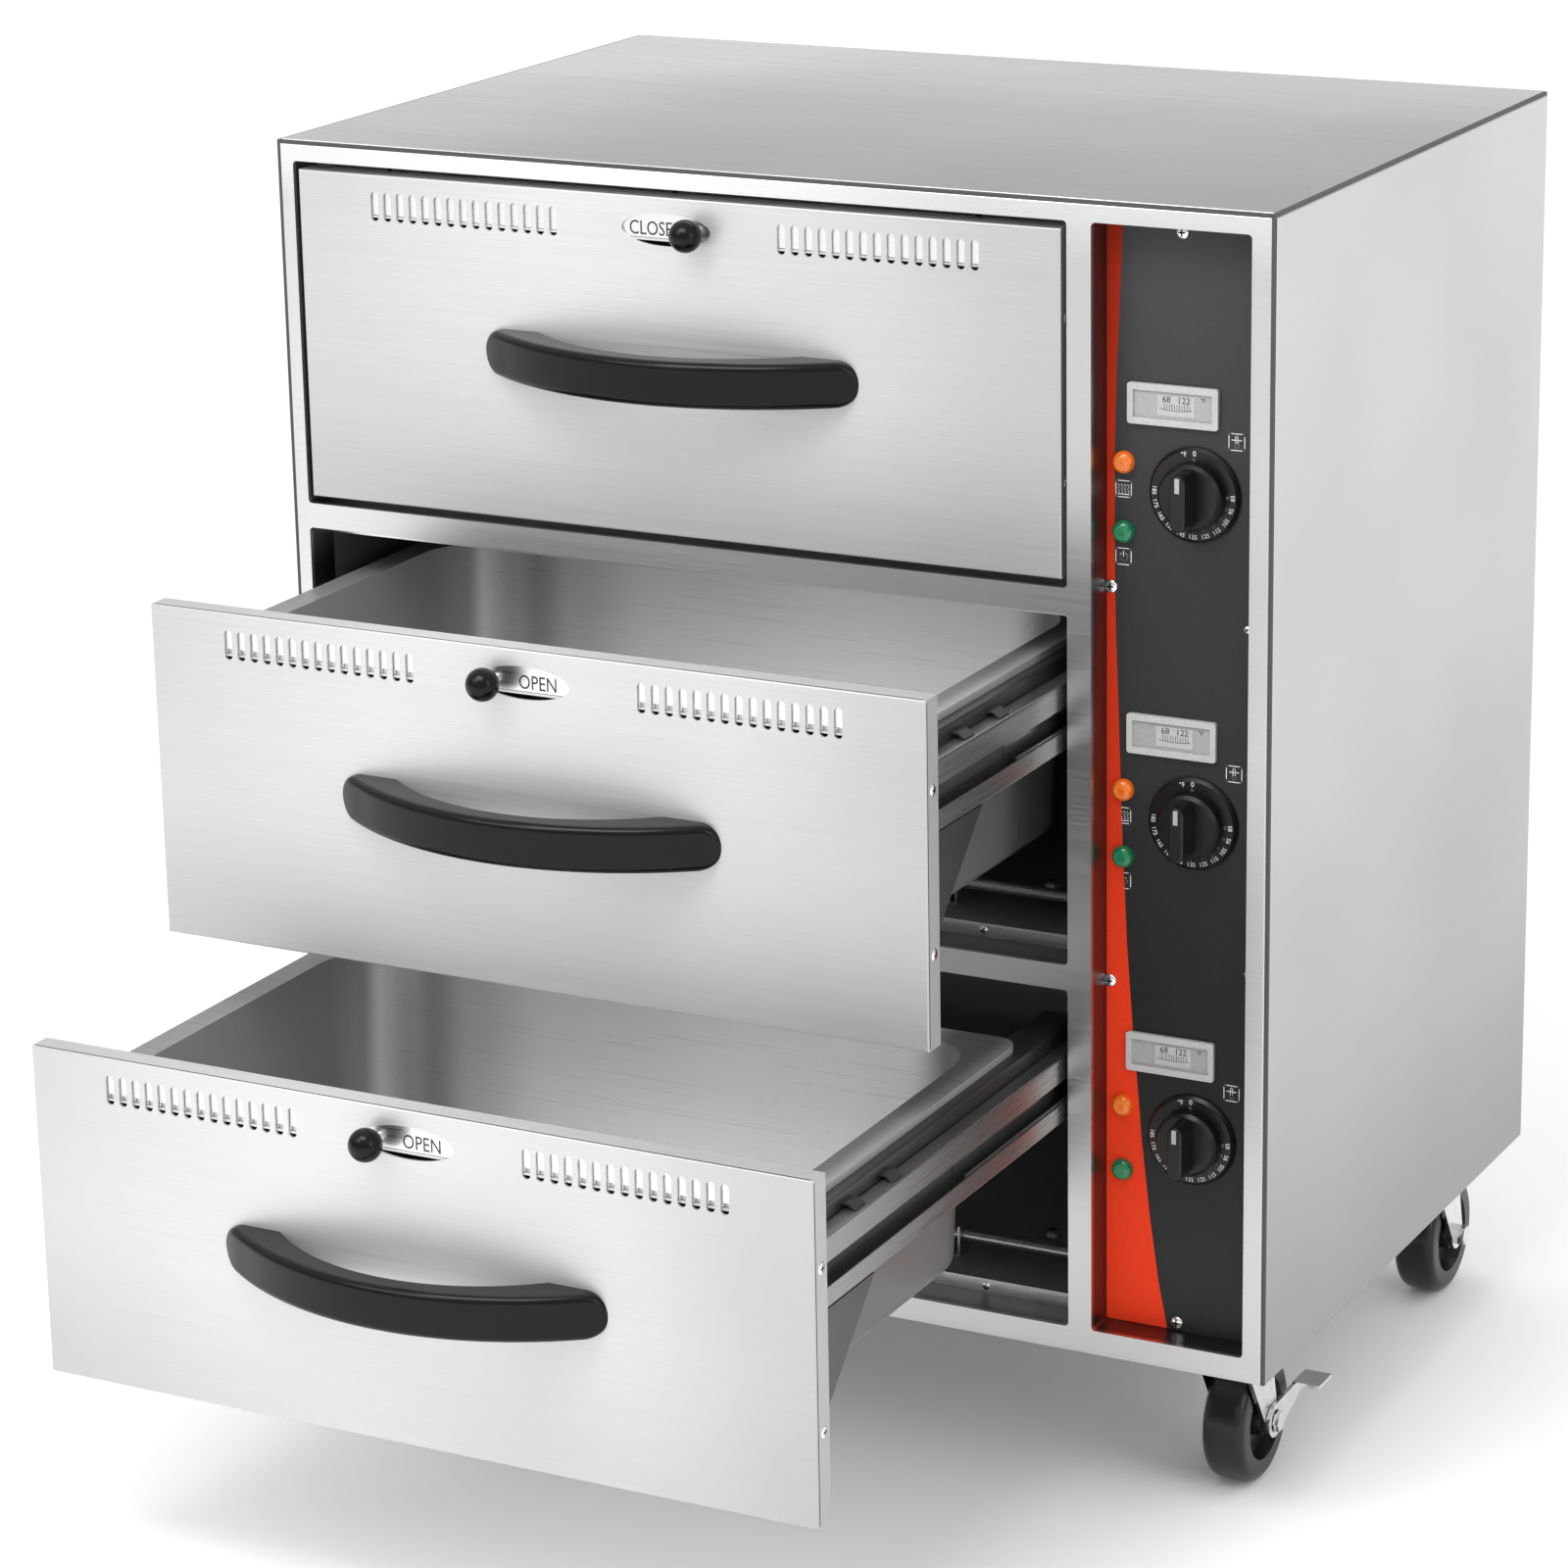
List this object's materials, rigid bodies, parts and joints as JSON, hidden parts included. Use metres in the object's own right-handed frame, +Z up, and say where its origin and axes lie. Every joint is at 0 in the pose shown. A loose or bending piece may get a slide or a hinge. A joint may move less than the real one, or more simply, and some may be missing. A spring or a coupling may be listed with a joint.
{
  "type": "food warmer with drawers",
  "caption": "Free-standing steel food warmer on swivel casters, with pull-out pan drawers on telescopic slides and a recessed side control bay.",
  "frame": {"origin": "on the floor, under the middle of the bounding box with the middle and bottom drawers drawn out", "axes": "+X to the right seen from the front, -Y towards the user, where the drawers open, +Z up"},
  "size_m": [0.737, 0.928, 0.905],
  "materials": {
    "steel": "brushed along the length",
    "joint_strip": "matte dark grey",
    "inner_steel": "plain mill finish",
    "insulation": "fibre batt",
    "element": "heat-dulled tube",
    "nylon": "matte",
    "black_paint": "fine texture",
    "gauge": "smooth",
    "amber_lens": "clear dome",
    "green_lens": "clear dome",
    "dial_skirt": "satin",
    "black_plastic": "smooth",
    "slide_steel": "plated",
    "pan_steel": "satin",
    "caster_metal": "plated",
    "wheel_rubber": "semi-gloss"
  },
  "bodies": {
    "cabinet": {"top_panel": "steel", "side_panel_left": "steel", "side_panel_right": "steel", "back_panel": "steel", "base_panel": "steel", "face_frame": "steel", "corner_seals": "joint_strip", "cord_gland": "black_plastic", "bay_divider": "inner_steel", "cavity_liner_bottom": "inner_steel", "cavity_liner_middle": "inner_steel", "cavity_liner_top": "inner_steel", "insulation_batts": "insulation", "heating_elements": "element", "glide_buttons": "nylon", "control_panel": "black_paint", "thermometers": "gauge", "heat_lamps": "amber_lens", "power_lamps": "green_lens", "dial_plates": "dial_skirt", "thermostats": "black_plastic", "slide_fixed_bottom": "slide_steel", "slide_fixed_middle": "slide_steel", "slide_fixed_top": "slide_steel", "caster_plates": "caster_metal"},
    "drawer_bottom": {"drawer_channel_bottom": "slide_steel", "drawer_front_bottom": "steel", "drawer_frame_bottom": "inner_steel", "pan_bottom": "pan_steel", "handle_bottom": "black_plastic"},
    "runner_bottom": {"slide_middle_bottom": "slide_steel"},
    "vent_bottom": {"vent_damper_bottom": "inner_steel"},
    "drawer_middle": {"drawer_channel_middle": "slide_steel", "drawer_front_middle": "steel", "drawer_frame_middle": "inner_steel", "pan_middle": "pan_steel", "handle_middle": "black_plastic"},
    "runner_middle": {"slide_middle_middle": "slide_steel"},
    "vent_middle": {"vent_damper_middle": "inner_steel"},
    "drawer_top": {"drawer_channel_top": "slide_steel", "drawer_front_top": "steel", "drawer_frame_top": "inner_steel", "pan_top": "pan_steel", "handle_top": "black_plastic"},
    "runner_top": {"slide_middle_top": "slide_steel"},
    "vent_top": {"vent_damper_top": "inner_steel"},
    "dial_bottom": {"dial_bottom": "black_plastic"},
    "dial_middle": {"dial_middle": "black_plastic"},
    "dial_top": {"dial_top": "black_plastic"},
    "caster_front_left": {"caster_fork_front_left": "caster_metal"},
    "wheel_front_left": {"caster_wheel_front_left": "wheel_rubber"},
    "caster_front_right": {"caster_fork_front_right": "caster_metal"},
    "wheel_front_right": {"caster_wheel_front_right": "wheel_rubber"},
    "caster_rear_left": {"caster_fork_rear_left": "caster_metal"},
    "wheel_rear_left": {"caster_wheel_rear_left": "wheel_rubber"},
    "caster_rear_right": {"caster_fork_rear_right": "caster_metal"},
    "wheel_rear_right": {"caster_wheel_rear_right": "wheel_rubber"},
    "brake_front_left": {"brake_pedal_front_left": "caster_metal"},
    "brake_front_right": {"brake_pedal_front_right": "caster_metal"}
  },
  "joints": [
    {"name": "drawer_slide_bottom", "type": "slide", "parent": "cabinet", "child": "drawer_bottom", "axis": [0, -1, 0], "range_m": [-0.363, 0.04]},
    {"name": "runner_slide_bottom", "type": "slide", "parent": "cabinet", "child": "runner_bottom", "axis": [0, -1, 0], "range_m": [-0.1815, 0.02]},
    {"name": "vent_slide_bottom", "type": "slide", "parent": "drawer_bottom", "child": "vent_bottom", "axis": [1, 0, 0], "range_m": [0, 0.045]},
    {"name": "drawer_slide_middle", "type": "slide", "parent": "cabinet", "child": "drawer_middle", "axis": [0, -1, 0], "range_m": [-0.202, 0.201]},
    {"name": "runner_slide_middle", "type": "slide", "parent": "cabinet", "child": "runner_middle", "axis": [0, -1, 0], "range_m": [-0.101, 0.1005]},
    {"name": "vent_slide_middle", "type": "slide", "parent": "drawer_middle", "child": "vent_middle", "axis": [1, 0, 0], "range_m": [0, 0.045]},
    {"name": "drawer_slide_top", "type": "slide", "parent": "cabinet", "child": "drawer_top", "axis": [0, -1, 0], "range_m": [0, 0.403]},
    {"name": "runner_slide_top", "type": "slide", "parent": "cabinet", "child": "runner_top", "axis": [0, -1, 0], "range_m": [0, 0.2015]},
    {"name": "vent_slide_top", "type": "slide", "parent": "drawer_top", "child": "vent_top", "axis": [1, 0, 0], "range_m": [-0.045, 0]},
    {"name": "dial_turn_bottom", "type": "hinge", "parent": "cabinet", "child": "dial_bottom", "pos_m": [0.305, -0.049, 0.272], "axis": [0, -1, 0], "range_deg": [-300, 0]},
    {"name": "dial_turn_middle", "type": "hinge", "parent": "cabinet", "child": "dial_middle", "pos_m": [0.305, -0.049, 0.493], "axis": [0, -1, 0], "range_deg": [-300, 0]},
    {"name": "dial_turn_top", "type": "hinge", "parent": "cabinet", "child": "dial_top", "pos_m": [0.305, -0.049, 0.714], "axis": [0, -1, 0], "range_deg": [-300, 0]},
    {"name": "swivel_front_left", "type": "hinge", "parent": "cabinet", "child": "caster_front_left", "pos_m": [-0.315, 0.021, 0.1], "axis": [0, 0, 1], "continuous": true},
    {"name": "roll_front_left", "type": "hinge", "parent": "caster_front_left", "child": "wheel_front_left", "pos_m": [-0.315, 0.049, 0.0445], "axis": [1, 0, 0], "continuous": true},
    {"name": "swivel_front_right", "type": "hinge", "parent": "cabinet", "child": "caster_front_right", "pos_m": [0.315, 0.021, 0.1], "axis": [0, 0, 1], "continuous": true},
    {"name": "roll_front_right", "type": "hinge", "parent": "caster_front_right", "child": "wheel_front_right", "pos_m": [0.315, 0.049, 0.0445], "axis": [1, 0, 0], "continuous": true},
    {"name": "swivel_rear_left", "type": "hinge", "parent": "cabinet", "child": "caster_rear_left", "pos_m": [-0.315, 0.391, 0.1], "axis": [0, 0, 1], "continuous": true},
    {"name": "roll_rear_left", "type": "hinge", "parent": "caster_rear_left", "child": "wheel_rear_left", "pos_m": [-0.315, 0.419, 0.0445], "axis": [1, 0, 0], "continuous": true},
    {"name": "swivel_rear_right", "type": "hinge", "parent": "cabinet", "child": "caster_rear_right", "pos_m": [0.315, 0.391, 0.1], "axis": [0, 0, 1], "continuous": true},
    {"name": "roll_rear_right", "type": "hinge", "parent": "caster_rear_right", "child": "wheel_rear_right", "pos_m": [0.315, 0.419, 0.0445], "axis": [1, 0, 0], "continuous": true},
    {"name": "brake_front_left", "type": "hinge", "parent": "caster_front_left", "child": "brake_front_left", "pos_m": [-0.315, 0.049, 0.0445], "axis": [1, 0, 0], "range_deg": [0, 20]},
    {"name": "brake_front_right", "type": "hinge", "parent": "caster_front_right", "child": "brake_front_right", "pos_m": [0.315, 0.049, 0.0445], "axis": [1, 0, 0], "range_deg": [0, 20]}
  ],
  "couplings": [
    {"joint": "runner_slide_bottom", "follows": "drawer_slide_bottom", "ratio": 0.5},
    {"joint": "runner_slide_middle", "follows": "drawer_slide_middle", "ratio": 0.5},
    {"joint": "runner_slide_top", "follows": "drawer_slide_top", "ratio": 0.5}
  ]
}
